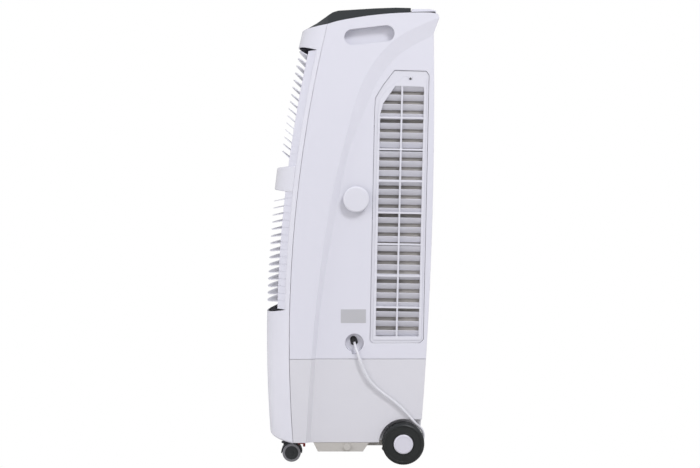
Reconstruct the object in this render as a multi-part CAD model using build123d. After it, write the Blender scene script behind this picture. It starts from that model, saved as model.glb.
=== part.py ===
"""Tower evaporative cooler on two wheels and two braked casters.

Millimetres. +Z is up and the front faces -Y. The origin is on the floor, under the middle of the
bounding box. The casing leans back on a large arc and its front is bowed in plan.
"""

from build123d import *
import math
import os

# ---- casing ----
body_width = 430.0          # across the raised parts of the sides
skin = 3.0                  # wall of the moulded shells
belly_y = -236.7            # foremost line of the front
belly_z = 325.0             # its height
lean_radius = 3700.0        # side-view arc of the front
bow_rise = 71.007           # rise of the front's plan arc between the casing's sides
seam_gap = 0.8              # open line between neighbouring mouldings
tank_lift = 4.0             # the tank's underside above the fascia's
fascia_foot_radius = 9.0    # rounding of the fascia's lower edge
tank_seam_z = 286.0
side_step = 10.0            # the rear part of each side lies this much further in
deck_inset = 20.0           # width of the side mouldings' top edge

# ---- louvres ----
blade_count = 15            # in each of the two banks
blade_pitch = 19.9
blade_chord = 22.0          # at a blade's ends
blade_thickness = 2.2
blade_proud = 1.0           # tips stand this far out of the front
opening_margin = 20.0       # from the opening to the casing's side
rail_margin = 2.0           # from a rail to the opening's edge
rail_width = 39.0
pin_depth = 48.0            # pivot line behind the front surface
pin_radius = 2.5
pin_length = 6.0
run_clearance = 0.05        # round running fits, on the radius
upper_first_pin_z = 1098.0
bank_gap = 100.4            # from the upper bank's last pin to the lower bank's first
foot_gap = 23.4             # from the lower bank's last pin to the opening's lower edge
upper_tilt = 40.0           # front edge up, at rest
lower_tilt = -11.0
guard_pitch = 24.0
rail_groove = 0.9           # depth of the joint lines across the rails

# ---- rear wheels and axle ----
wheel_y = 142.3
wheel_radius = 57.0
wheel_width = 44.0
wheel_overhang = 13.0       # from the casing's side to the outer face of the hub cap
cap_radius = 26.5
cap_thickness = 3.0
axle_radius = 6.0
arch_clearance = 8.5
well_gap = 16.0             # from a wheel to the inner wall of its well
well_headroom = 7.6         # from a wheel to the roof of its well

# ---- casters ----
caster_inset = 60.0         # from the casing's side
caster_setback = 75.5       # from the foremost line of the front to the wheels' axis
caster_radius = 25.0
caster_trail = 17.5
caster_wheel_width = 13.0
caster_web = 9.0
caster_gap = 1.2
caster_pin_radius = 3.0
stem_radius = 5.5
hood_gap = 3.5              # from the wheels to the outside of the hood
caster_headroom = 5.0       # from the wheels to the fascia
flange_radius = 10.5

# ---- fittings ----
grip_centre = (50.3, 1156.0)
grip_length = 134.5
grip_height = 43.0
grip_depth = 26.0
winder_centre = (15.0, 717.0)
winder_radius = 35.0
winder_height = 22.0
cup_centre = (10.3, 329.0)
cup_radius = 25.0
cup_depth = 16.0
cord_diameter = 7.0
bush_radius = 9.5
bush_tilt = 38.0            # below horizontal
bush_yaw = 14.0             # towards the rear
plug_radius = 18.5
plug_pin_radius = 2.4
plug_pin_spacing = 19.0
lid_axis = (224.0, 1222.0)
lid_pin_radius = 2.0
impeller_radius = 110.0
impeller_width = 130.0
impeller_blades = 24
blower_centre = (20.0, 790.0)
drain_centre = (-9.2, 47.5)
drain_radius = 9.5
drain_bore_radius = 6.0

half = body_width / 2
far = 300.0                 # beyond the casing on any side
over_top = 1300.0           # beyond it upwards
seam_depth = bow_rise
bow_radius = (half**2 + bow_rise**2) / (2 * bow_rise)
rear_x = half - side_step
wheel_z = wheel_radius
wheel_face_x = half + wheel_overhang
well_x = wheel_face_x - wheel_width - well_gap
well_top_z = 2 * wheel_radius + well_headroom
caster_x = half - caster_inset
caster_y = belly_y + caster_setback
hood_radius = caster_radius + hood_gap
fascia_base_z = 2 * caster_radius + caster_headroom
base_z = fascia_base_z + tank_lift
opening_half = half - opening_margin
rail_outer_x = opening_half - rail_margin
rail_inner_x = rail_outer_x - rail_width
bank_height = (blade_count - 1) * blade_pitch
upper_last_pin_z = upper_first_pin_z - bank_height
lower_first_pin_z = upper_last_pin_z - bank_gap
lower_last_pin_z = lower_first_pin_z - bank_height
nodes = {}


# ---- helpers ----
def block(x0, x1, y0, y1, z0, z1):
    return Pos((x0 + x1) / 2, (y0 + y1) / 2, (z0 + z1) / 2) * Box(x1 - x0, y1 - y0, z1 - z0)


def slab(z0, z1):
    """Everything between two heights."""
    return block(-far, far, -far, far, z0, z1)


def x_rod(x0, x1, y, z, radius):
    return Pos((x0 + x1) / 2, y, z) * Rot(0, 90, 0) * Cylinder(radius, x1 - x0)


def z_rod(x, y, z0, z1, radius):
    return Pos(x, y, (z0 + z1) / 2) * Cylinder(radius, z1 - z0)


def side_prism(x0, x1, *points):
    """A prism along X over a polygon of (Y, Z) points."""
    face = Plane.YZ.offset(x0) * make_face(Polyline(*points, close=True))
    return extrude(face, x1 - x0, dir=(1, 0, 0))


def both_sides(solid):
    return solid + mirror(solid, Plane.YZ)


def front_y(z, depth=0.0):
    """The front's arc at height z, or a line that far behind it."""
    return belly_y + lean_radius - math.sqrt((lean_radius - depth) ** 2 - (z - belly_z) ** 2)


def bow_depth(x):
    return bow_radius - math.sqrt(bow_radius**2 - x**2)


def lean_sweep(plan_face):
    """Turns a plan face at the belly's height about the far axis of the front's arc, both ways."""
    reach_down = math.degrees(math.asin((belly_z - fascia_base_z) / lean_radius)) + 1.0
    reach_up = math.degrees(math.asin((top_knee[1] - belly_z) / lean_radius)) + 1.0
    centre = (0, belly_y + lean_radius, belly_z)
    down = revolve(plan_face, Axis(centre, (1, 0, 0)), reach_down)
    up = revolve(plan_face, Axis(centre, (-1, 0, 0)), reach_up)
    return down + up


def bow_face(inset, rear_depth):
    """Plan face between the bowed front, moved in by inset, and a straight rear line."""
    radius = bow_radius - inset
    edge_x = math.sqrt(radius**2 - (bow_radius - rear_depth) ** 2)
    centre_y = belly_y + bow_radius
    arc = ThreePointArc(
        (-edge_x, belly_y + rear_depth), (0, centre_y - radius), (edge_x, belly_y + rear_depth)
    )
    face = make_face([arc, Line((edge_x, belly_y + rear_depth), (-edge_x, belly_y + rear_depth))])
    return Pos(0, 0, belly_z) * face


# ---- side profile of the casing ----
top_slope = 0.321           # of the top between the fascia and the knee
fascia_top_slope = 0.045
top_knee = (-35.7, 1194.0)
top_crown = (93.3, 1213.0)
top_rear = (214.3, 1216.5)
lip_top = (233.0, 1213.0)
lip_tip = (237.7, 1203.0)
lip_foot = (222.9, 1162.0)
rear_middle = (218.5, 606.0)
rear_foot = (187.8, base_z)


def top_front_z(y):
    """Height of the top in front of its knee; over the fascia it is nearly level."""
    seam_y = front_y(top_knee[1], seam_depth)
    if y > seam_y:
        return top_knee[1] + (y - top_knee[0]) * top_slope
    return top_front_z(seam_y + 0.1) + (y - seam_y) * fascia_top_slope


def casing_face(inset):
    """Side profile behind the fascia's seam, moved in by inset all round."""
    depth = seam_depth + seam_gap
    y_top = front_y(1184, depth)
    z_top = top_front_z(y_top)
    seam = ThreePointArc(
        (y_top, z_top), (front_y(700, depth), 700), (front_y(base_z, depth), base_z)
    )
    edges = [
        seam,
        Line((front_y(base_z, depth), base_z), rear_foot),
        ThreePointArc(rear_foot, rear_middle, lip_foot),
        Line(lip_foot, lip_tip),
        Line(lip_tip, lip_top),
        Line(lip_top, top_rear),
        ThreePointArc(top_rear, top_crown, top_knee),
        Line(top_knee, (y_top, z_top)),
    ]
    face = make_face(edges)
    return offset(face, -inset, kind=Kind.INTERSECTION) if inset else face


# The swept bevel on each side: where it leaves the raised part, and where it meets the lower part.
bevel_raised = [
    (258.0, 1212.0), (203.0, 1189.0), (134.0, 1155.0), (79.0, 1105.0), (24.0, 1011.0), (-13.0, 881.0),
    (-43.0, 764.0), (-67.0, 631.0), (-92.0, 438.0), (-108.0, 258.0), (-122.0, 40.0),
]
bevel_lower = [
    (258.0, 1172.0), (209.0, 1151.0), (128.0, 1103.0), (84.0, 1054.0), (35.0, 950.0), (2.0, 870.0),
    (-27.0, 748.0), (-53.0, 614.0), (-80.0, 438.0), (-97.0, 258.0), (-110.0, 40.0),
]


def behind_bevel(points, x, shift):
    """Face at x over everything behind one edge of the bevel."""
    moved = [(y - shift, z + shift) for y, z in points]
    far_y, low_z = 300.0, moved[-1][1]
    edges = [
        Spline(*moved),
        Polyline(moved[-1], (far_y, low_z), (far_y, moved[0][1]), moved[0]),
    ]
    return Plane.YZ.offset(x) * make_face(edges)


def side_cutter(inset):
    shift = inset * 0.8
    outer = behind_bevel(bevel_raised, half - inset, shift)
    inner = behind_bevel(bevel_lower, rear_x - inset, shift)
    return loft([outer, inner], ruled=True) + extrude(outer, 2 * side_step, dir=(1, 0, 0))


def casing_block(inset):
    solid = extrude(Plane.YZ * casing_face(inset), half - inset, both=True)
    cutter = side_cutter(inset)
    return solid - cutter - mirror(cutter, Plane.YZ)


casing_outer = casing_block(0)
casing_inner = casing_block(skin)


def well(grow):
    """Wheel well: the arch over the wheel and the open corner behind it."""
    x0 = well_x - grow
    arch = x_rod(x0, half + 5, wheel_y, wheel_z, wheel_radius + arch_clearance + grow)
    corner = block(x0, half + 5, wheel_y, 260, 0, well_top_z + grow)
    return both_sides(arch + corner)


# ---- water tank ----
step_y = 90.0               # behind this the tank's floor is higher, over the axle
step_z = 76.0
tank_outer = casing_outer & slab(base_z, tank_seam_z - seam_gap)
tank_outer = tank_outer - well(0) - block(-far, far, step_y, far, 0, step_z)
tank_cavity = casing_inner & slab(base_z + skin, tank_seam_z + 1)
tank_cavity = tank_cavity - well(skin) - block(-far, far, step_y - skin, far, 0, step_z + skin)
nodes["water_tank"] = tank_outer - tank_cavity

# ---- side panels ----
upper_shell = (casing_outer - casing_inner) & slab(tank_seam_z, over_top)
deck_x = half - deck_inset
side_panel = upper_shell & block(deck_x, far, -far, far, 0, over_top)

grip_angle = 6.5
grip_place = Pos(half, *grip_centre) * Rot(grip_angle, 0, 0)


def grip_body(grow, depth):
    outline = SlotOverall(grip_length + 2 * grow, grip_height + 2 * grow)
    return grip_place * Pos(-depth, 0, 0) * extrude(Plane.YZ * outline, depth + 2, dir=(1, 0, 0))


side_panel = side_panel - grip_body(0, grip_depth)
grip_wall = grip_body(skin, grip_depth + skin) - grip_body(0, grip_depth)
grip_wall = grip_wall & block(0, half - skin, -far, far, 0, over_top)

door_outline = [
    (118.0, 1063.0), (203.5, 1060.5), (210.5, 1050.0), (196.0, 338.0), (187.0, 329.5), (60.0, 329.0),
    (52.5, 336.0), (64.5, 947.0), (67.0, 989.0), (86.0, 1021.0),
]
window_outline = [
    (120.5, 1021.5), (197.5, 1018.5), (183.5, 346.5), (67.5, 346.5), (79.5, 945.5), (88.0, 975.0),
]
raised_outline = [
    (142.0, 1047.0), (201.5, 1046.0), (204.5, 1042.0), (190.5, 339.5), (187.0, 336.5), (63.0, 336.5),
    (60.0, 339.5), (73.0, 946.0), (77.5, 982.0), (95.0, 1010.0),
]
door_gap = 0.8
door_rebate = 1.0           # the grille's raised frame lies this far below the panel around it
door_step = 1.6             # and the rim round that frame this much lower again
screw_place = (160.8, 1041.0)
screw_notch_radius = 6.0


def outline_prism(points, x0, x1, grow=0.0, corner=4.0):
    face = make_face(Polyline(*points, close=True))
    face = fillet(face.vertices(), corner)
    if grow:
        face = offset(face, grow, kind=Kind.INTERSECTION)
    return extrude(Plane.YZ.offset(x0) * face, x1 - x0, dir=(1, 0, 0))


side_panel = side_panel - outline_prism(door_outline, rear_x - 20, rear_x + 5, door_gap)

cup = Pos(rear_x, *cup_centre) * Rot(0, 90, 0)
notch = side_prism(
    rear_x - cup_depth, rear_x + 2,
    (cup_centre[0] - 8, cup_centre[1]), (cup_centre[0] + 8, cup_centre[1]),
    (cup_centre[0] + 6, cup_centre[1] - cup_radius - 5), (cup_centre[0] - 6, cup_centre[1] - cup_radius - 5),
)
cup_hollow = x_rod(rear_x - cup_depth, rear_x + 2, *cup_centre, cup_radius) + notch
cup_wall = x_rod(rear_x - cup_depth - skin, rear_x - skin, *cup_centre, cup_radius + skin)
cup_wall = cup_wall + block(
    rear_x - cup_depth - skin, rear_x - skin,
    cup_centre[0] - 11, cup_centre[0] + 11, cup_centre[1] - cup_radius - 8, cup_centre[1],
)
side_panel_right = side_panel + grip_wall
side_panel_left = mirror(side_panel_right, Plane.YZ)
side_panel_right = side_panel_right + cup_wall - cup_hollow

# ---- cord bush in the cup's floor ----
bush_length = 30.0
bush_bore_depth = 13.0
bush_mouth = Vector(rear_x - 9.0, cup_centre[0], cup_centre[1])
bush_dir = Vector(1, 0, 0).rotate(Axis.Y, bush_tilt).rotate(Axis.Z, bush_yaw)
bush_plane = Plane(origin=bush_mouth, z_dir=bush_dir)
bush_core = bush_plane * Pos(0, 0, -bush_length / 2) * Cylinder(bush_radius, bush_length)
bush_bore = bush_plane * Pos(0, 0, -bush_bore_depth / 2) * Cylinder(
    cord_diameter / 2 + 0.1, bush_bore_depth + 0.2)
side_panel_right = side_panel_right - bush_core
nodes["side_panels"] = Compound([side_panel_right, side_panel_left])

# ---- rear panel with the top deck, and the fill box under the lid ----
rear_panel = upper_shell & block(-deck_x + seam_gap, deck_x - seam_gap, -far, far, 0, over_top)
mouth_half = 120.0
mouth_front, mouth_rear = 172.0, 208.0
fill_floor_z = 1150.0
lid_front = 163.0
lid_half = deck_x - 2.0
fill_drain_radius = 9.0
fill_box = block(
    -mouth_half - skin, mouth_half + skin, mouth_front - skin, mouth_rear + skin, fill_floor_z, 1215.0)
fill_hollow = block(-mouth_half, mouth_half, mouth_front, mouth_rear, fill_floor_z + skin, over_top)
fill_drain = z_rod(
    0, (mouth_front + mouth_rear) / 2, fill_floor_z - 1, fill_floor_z + skin + 1, fill_drain_radius)
air_way_rear, air_way_top = 100.0, 1176.0
air_way = block(-far, far, -far, air_way_rear, 0, air_way_top)
rear_panel = rear_panel - air_way + (fill_box & casing_outer)
rear_panel = rear_panel - fill_hollow - fill_drain
lug_x0, lug_x1 = 150.0, 170.0
lug_radius = 4.0
lid_pin_length = 8.0
lug = block(
    lug_x0, lug_x1, lid_axis[0] - lug_radius, lid_axis[0] + lug_radius, lid_axis[1] - 9, lid_axis[1])
lug = lug + x_rod(lug_x0, lug_x1, *lid_axis, lug_radius)
lug = lug + x_rod(lug_x0 - lid_pin_length, lug_x0, *lid_axis, lid_pin_radius)
rear_panel = rear_panel + both_sides(lug)
nodes["rear_panel"] = rear_panel

# ---- fill lid, hinged at the rear ----
lid = side_prism(
    -lid_half, lid_half,
    (lid_front, 1217.4), (lid_front + 2, 1228.0), (212.0, 1228.0), (lid_axis[0] + 5, 1224.5),
    (lid_axis[0] + 6, 1218.5),
)
lid_gap = 1.0
lid_notch = block(
    lug_x0 - lid_gap, lug_x1 + lid_gap, lid_axis[0] - lug_radius - 2, far, lid_axis[1] - 12, over_top)
lid_bore = x_rod(lug_x0 - lid_pin_length - lid_gap, lug_x0, *lid_axis, lid_pin_radius + run_clearance)
nodes["fill_lid"] = lid - both_sides(lid_notch + lid_bore)

# ---- front fascia: a bowed, leaning shell with one tall opening for both louvre banks ----
fascia_top = side_prism(
    -far, far,
    (-far, fascia_base_z), (0, fascia_base_z), (0, top_front_z(-50)),
    (front_y(top_knee[1], seam_depth), top_front_z(front_y(top_knee[1], seam_depth))),
    (-far, top_front_z(-far)),
)
fascia_outer = lean_sweep(bow_face(0, seam_depth)) & fascia_top
foot_edges = fascia_outer.edges().filter_by_position(Axis.Z, fascia_base_z - 0.1, fascia_base_z + 0.1)
fascia_outer = fillet(foot_edges.sort_by(Axis.Y)[0], fascia_foot_radius)
fascia_cavity = lean_sweep(bow_face(skin, seam_depth + 6)) & Pos(0, 0, -skin) * fascia_top
fascia_cavity = fascia_cavity & slab(fascia_base_z + skin, over_top)
opening_foot_z = lower_last_pin_z - foot_gap
opening_head_z = upper_first_pin_z + 22.0
opening_foot = [(-far, opening_foot_z - 33.0), (-179.0, opening_foot_z), (-100.0, opening_foot_z)]
opening_head = [(-60.0, opening_head_z), (-93.7, opening_head_z), (-far, opening_head_z + 75.0)]
opening = side_prism(-opening_half, opening_half, *opening_foot, *opening_head)
socket_y = caster_y - caster_trail
socket_wall = 3.5
socket_depth = 34.0
sockets = z_rod(
    caster_x, socket_y, fascia_base_z, fascia_base_z + socket_depth + 4, stem_radius + socket_wall)
socket_bores = z_rod(
    caster_x, socket_y, fascia_base_z - 1, fascia_base_z + socket_depth, stem_radius + run_clearance)
fascia = fascia_outer - fascia_cavity - opening
fascia = fascia + (both_sides(sockets) & fascia_outer) - both_sides(socket_bores)
nodes["front_fascia"] = fascia

# ---- control panel: a dark shell on the slanted top, its front edge more bowed than the fascia ----
panel_half = half - 22.0
panel_bow = 289.0
panel_front = -133.5
panel_rear = lid_front - 1.0
panel_line = [
    (-134.5, 1184.2), (-115.0, 1186.2), (-92.0, 1194.0), (-67.0, 1207.5), (-48.0, 1219.5), (-33.0, 1224.0),
    (65.3, 1230.0), (121.3, 1232.0),
]


def panel_block(inset):
    line = [(y, z - inset) for y, z in panel_line]
    prism = side_prism(
        -panel_half + inset, panel_half - inset,
        (line[0][0], 1150.0), *line, (panel_rear - inset, 1231.0 - inset), (panel_rear - inset, 1150.0))
    return prism & Pos(0, panel_front + panel_bow, 1150) * Cylinder(panel_bow - inset, 400)


nodes["control_panel"] = panel_block(0) - panel_block(skin) - casing_outer - fascia_outer

# ---- mid band between the banks ----
band_radius = 4.0           # rounding of its two front edges
band_front = lean_sweep(bow_face(-blade_proud, seam_depth - 12))
band_core = lean_sweep(bow_face(skin, seam_depth + 6))
band_z = (upper_last_pin_z + lower_first_pin_z) / 2 + 0.8
band_wall = 4.0


def band_block(half_width, inset):
    """The band's prism: its foot and head slope up and down towards the front."""
    return side_prism(
        -half_width, half_width,
        (-far, band_z - 18.0 + inset), (-161.0, band_z - 34.5 + inset), (-100.0, band_z - 42.0 + inset),
        (-100.0, band_z + 45.0 - inset), (-151.0, band_z + 38.0 - inset), (-far, band_z + 24.0 - inset))


band_prism = band_block(opening_half - seam_gap, 0)
band_hollow = band_block(rail_inner_x, band_wall)
band_solid = band_front & band_prism
band_edges = band_solid.edges().filter_by(GeomType.LINE, reverse=True).sort_by(Axis.Y)[:2]
band_solid = fillet(band_edges, band_radius)
nodes["mid_band"] = band_solid - (band_core & band_hollow)


# ---- louvre blades ----
def pin_y(z):
    return front_y(z, pin_depth)


def louvre_blade(pin_z, tilt):
    """A flat plate with a straight rear edge and a bowed front one, and a pivot pin at each end."""
    end_x = rail_inner_x - 1.0
    tip = pin_depth + blade_proud
    edge_radius = bow_radius + blade_proud
    end_front = tip - (edge_radius - math.sqrt(edge_radius**2 - end_x**2))
    front_edge = ThreePointArc((-end_x, -end_front), (0, -tip), (end_x, -end_front))
    rear = Polyline(
        (end_x, -end_front), (end_x, blade_chord - end_front), (-end_x, blade_chord - end_front),
        (-end_x, -end_front))
    plate = extrude(make_face([front_edge, *rear.edges()]), blade_thickness / 2, both=True)
    pin = x_rod(end_x - 8, rail_inner_x + pin_length, 0, 0, pin_radius)
    return Pos(0, pin_y(pin_z), pin_z) * Rot(-tilt, 0, 0) * (plate + both_sides(pin))


pin_heights = {
    "upper": [upper_first_pin_z - i * blade_pitch for i in range(blade_count)],
    "lower": [lower_first_pin_z - i * blade_pitch for i in range(blade_count)],
}
for bank, tilt in (("upper", upper_tilt), ("lower", lower_tilt)):
    for i, pin_z in enumerate(pin_heights[bank]):
        nodes[f"{bank}_louvre_{i + 1:02d}"] = louvre_blade(pin_z, tilt)

# ---- louvre frame: two rails with the pin holes, and the finger guard between them ----
rail_points = [
    (rail_inner_x, belly_y + bow_depth(rail_inner_x) + 1.0),
    (rail_outer_x, belly_y + bow_depth(rail_outer_x) + 4.0),
    (rail_outer_x, belly_y + seam_depth),
    (rail_inner_x, belly_y + seam_depth),
]
rail_face = Pos(0, 0, belly_z) * make_face(Polyline(*rail_points, close=True))
rail_foot_z = opening_foot_z + 1.0
rail_head_z = opening_head_z - 1.0
rail = lean_sweep(rail_face) & block(0, far, -far, far, rail_foot_z, rail_head_z)
groove_face = Pos(0, -belly_y, 0) * make_face(Polyline(
    rail_points[0], rail_points[1], (rail_points[1][0], rail_points[1][1] + rail_groove),
    (rail_points[0][0], rail_points[0][1] + rail_groove), close=True))
for pin_z in pin_heights["upper"] + pin_heights["lower"]:
    hole = x_rod(
        rail_inner_x - 1, rail_inner_x + pin_length + 1, pin_y(pin_z), pin_z, pin_radius + run_clearance)
    groove = Pos(0, front_y(pin_z), pin_z) * extrude(groove_face, rail_groove)
    rail = rail - hole - groove
rails = both_sides(rail)
guard_depth = seam_depth - 8.0
guard_thickness = 2.4
guard = []
bar_count = int((rail_head_z - rail_foot_z) / guard_pitch) + 1
for i in range(bar_count):
    z = rail_foot_z + 2.0 + i * guard_pitch
    y = front_y(z, guard_depth)
    guard.append(block(-rail_inner_x - 2, rail_inner_x + 2, y, y + 6.0, z, z + guard_thickness))
nodes["louvre_frame"] = rails + guard - (band_front & band_prism)

# ---- intake grilles ----
slat_count = 27
slat_pitch = 25.4
slat_width = 19.0
slat_thickness = 2.0
slat_angle = 38.0
first_slat_z = 355.0
rib_count = 7
rib_pitch = 85.2
rib_width = 5.0
first_rib_z = 425.0
lattice_depth = 16.5
grille_face_x = rear_x - door_rebate


def intake_grille():
    frame_plate = outline_prism(door_outline, grille_face_x - door_step - skin, grille_face_x - door_step)
    raised = outline_prism(raised_outline, grille_face_x - skin, grille_face_x, 0, 2.0)
    notch = x_rod(grille_face_x - door_step, grille_face_x + 1, *screw_place, screw_notch_radius)
    notch = notch + block(
        grille_face_x - door_step, grille_face_x + 1, screw_place[0] - screw_notch_radius,
        screw_place[0] + screw_notch_radius, screw_place[1], screw_place[1] + 10)
    frame_plate = frame_plate + (raised - notch)
    window = outline_prism(window_outline, grille_face_x - 20, grille_face_x + 1, 0, 3.0)
    across = Pos(grille_face_x - lattice_depth / 2, 130.0, 0) * Rot(-1.0, 0, 0)
    slat = across * Rot(0, slat_angle, 0) * Box(slat_thickness, 170.0, slat_width)
    rib = across * Box(lattice_depth - 0.5, 170.0, rib_width)
    bars = [Pos(0, 0, first_slat_z + i * slat_pitch) * slat for i in range(slat_count)]
    bars += [Pos(0, 0, first_rib_z + i * rib_pitch) * rib for i in range(rib_count)]
    bars.append(side_prism(
        grille_face_x - lattice_depth, grille_face_x - 0.5,
        (139.0 - rib_width / 2, 1025.0), (139.0 + rib_width / 2, 1025.0),
        (124.0 + rib_width / 2, 342.0), (124.0 - rib_width / 2, 342.0)))
    rim = outline_prism(window_outline, grille_face_x - lattice_depth, grille_face_x, 2.0, 3.0)
    lattice = (rim - window) + [bar & window for bar in bars]
    return (frame_plate - window) + lattice


grille = intake_grille()
nodes["intake_grilles"] = Compound([grille, mirror(grille, Plane.YZ)])

# ---- honeycomb cooling pads ----
pad_thickness = 45.0
pad_x = grille_face_x - lattice_depth - 1.5
pad = side_prism(
    pad_x - pad_thickness, pad_x,
    (62.0, 336.0), (186.0, 336.0), (200.0, 1045.0), (118.0, 1045.0), (84.0, 985.0), (74.0, 945.0),
)
nodes["cooling_pads"] = Compound([pad, mirror(pad, Plane.YZ)])

# ---- blower ----
housing_x = 90.0
scroll_gap = 25.0           # from the impeller to the wall round it
blower_front = -108.0


def scroll(inset, front):
    """The drum round the impeller, and its square mouth towards the louvres."""
    radius = impeller_radius + scroll_gap + skin - inset
    drum = x_rod(-housing_x + inset, housing_x - inset, *blower_centre, radius)
    return drum + block(
        -housing_x + inset, housing_x - inset, front, blower_centre[0],
        blower_centre[1] - radius, blower_centre[1] + radius)


inlets = x_rod(-housing_x - 5, housing_x + 5, *blower_centre, impeller_radius - 25)
nodes["blower_housing"] = scroll(0, blower_front) - scroll(skin, blower_front - 5) - inlets

ring_in = x_rod(-impeller_width / 2 - 1, impeller_width / 2 + 1, *blower_centre, impeller_radius - 16)
end_rings = both_sides(
    x_rod(impeller_width / 2 - 4, impeller_width / 2, *blower_centre, impeller_radius)
) - ring_in
web = x_rod(-2, 2, *blower_centre, impeller_radius)
vane = Pos(0, 0, impeller_radius - 8.5) * Rot(35, 0, 0) * Box(impeller_width - 2, 1.6, 15)
vanes = [
    Pos(0, *blower_centre) * Rot(i * 360 / impeller_blades, 0, 0) * vane for i in range(impeller_blades)]
motor_radius = 42.0
shaft_radius = 5.0
impeller = end_rings + web + vanes
impeller = impeller - x_rod(-10, 10, *blower_centre, shaft_radius + run_clearance)
nodes["blower_impeller"] = impeller
motor = x_rod(12, 80, *blower_centre, motor_radius)
motor = motor + x_rod(-8, 12, *blower_centre, shaft_radius)
motor = motor + x_rod(80, 84, *blower_centre, motor_radius + 4)
for turn in (0, 120, 240):
    arm = Pos(0, *blower_centre) * Rot(turn, 0, 0) * Pos(82, 0, 70) * Box(4, 12, 80)
    motor = motor + arm
nodes["fan_motor"] = motor + x_rod(84, 94, *blower_centre, 30)

# ---- water pump ----
pump_x, pump_top_z = -60.0, 112.0
pump = z_rod(pump_x, 0, base_z + skin, pump_top_z, 26) + z_rod(pump_x, 0, pump_top_z, pump_top_z + 6, 20)
nodes["water_pump"] = pump + z_rod(pump_x, 0, pump_top_z + 6, tank_seam_z + 14, 6)

# ---- base tray: a sump nearly as wide as the tank, and the axle carrier ----
carrier_x = well_x - 3.0
carrier_z = 44.0
carrier_wall = 6.0
sump_x = half - 11.0
sump_z = 34.0
sump_front, sump_rear = (-101.2, -88.7), (50.2, 33.2)


def sump(inset):
    return side_prism(
        -sump_x + inset, sump_x - inset,
        (sump_front[0] + inset, base_z), (sump_rear[0] - inset, base_z),
        (sump_rear[1] - inset, sump_z + inset), (sump_front[1] + inset, sump_z + inset))


carrier = block(-carrier_x, carrier_x, 41.3, step_y, carrier_z, base_z)
carrier = carrier + block(-carrier_x, carrier_x, step_y, 180.0, carrier_z, step_z)
hollow_x = carrier_x - carrier_wall
carrier_hollow = block(-hollow_x, hollow_x, 60, step_y - 7, carrier_z + skin, base_z + 1)
carrier_hollow = carrier_hollow + block(
    -hollow_x, hollow_x, step_y + 5, 175, carrier_z + skin, step_z + 1)
base_tray = sump(0) + (carrier - carrier_hollow) - sump(skin)
base_tray = base_tray - x_rod(-far, far, wheel_y, wheel_z, axle_radius + run_clearance)
drain_seat = 12.0
base_tray = base_tray + x_rod(sump_x - drain_seat, sump_x, *drain_centre, drain_radius)
base_tray = base_tray - x_rod(
    sump_x - drain_seat - 1, sump_x + 1, *drain_centre, drain_bore_radius + run_clearance)
nodes["base_tray"] = base_tray

drain_plug = x_rod(sump_x - drain_seat + 1, sump_x, *drain_centre, drain_bore_radius)
nodes["drain_plug"] = drain_plug + x_rod(sump_x, sump_x + 7, *drain_centre, drain_radius)

# ---- axle and rear wheels ----
axle_end = wheel_face_x - cap_thickness - 1.0
nodes["wheel_axle"] = x_rod(-axle_end, axle_end, wheel_y, wheel_z, axle_radius)


def rear_wheel():
    """Tyre and hub as two solids; the hub turns on the axle's end."""
    x1 = wheel_face_x - cap_thickness
    x0 = wheel_face_x - wheel_width
    tyre = x_rod(x0, x1, wheel_y, wheel_z, wheel_radius)
    tyre = fillet(tyre.edges().filter_by(GeomType.CIRCLE), 5.0)
    tyre = tyre - x_rod(x0 - 1, x1 + 1, wheel_y, wheel_z, cap_radius)
    hub = x_rod(x0 + 2, wheel_face_x, wheel_y, wheel_z, cap_radius)
    hub = chamfer(hub.edges().filter_by(GeomType.CIRCLE).sort_by(Axis.X)[-1:], 2.5)
    hub = hub - x_rod(x0 - 1, axle_end + 0.5, wheel_y, wheel_z, axle_radius + run_clearance)
    return tyre, hub


tyre, hub = rear_wheel()
nodes["right_rear_wheel"] = Compound([tyre, hub])
nodes["left_rear_wheel"] = Compound([mirror(tyre, Plane.YZ), mirror(hub, Plane.YZ)])


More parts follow.
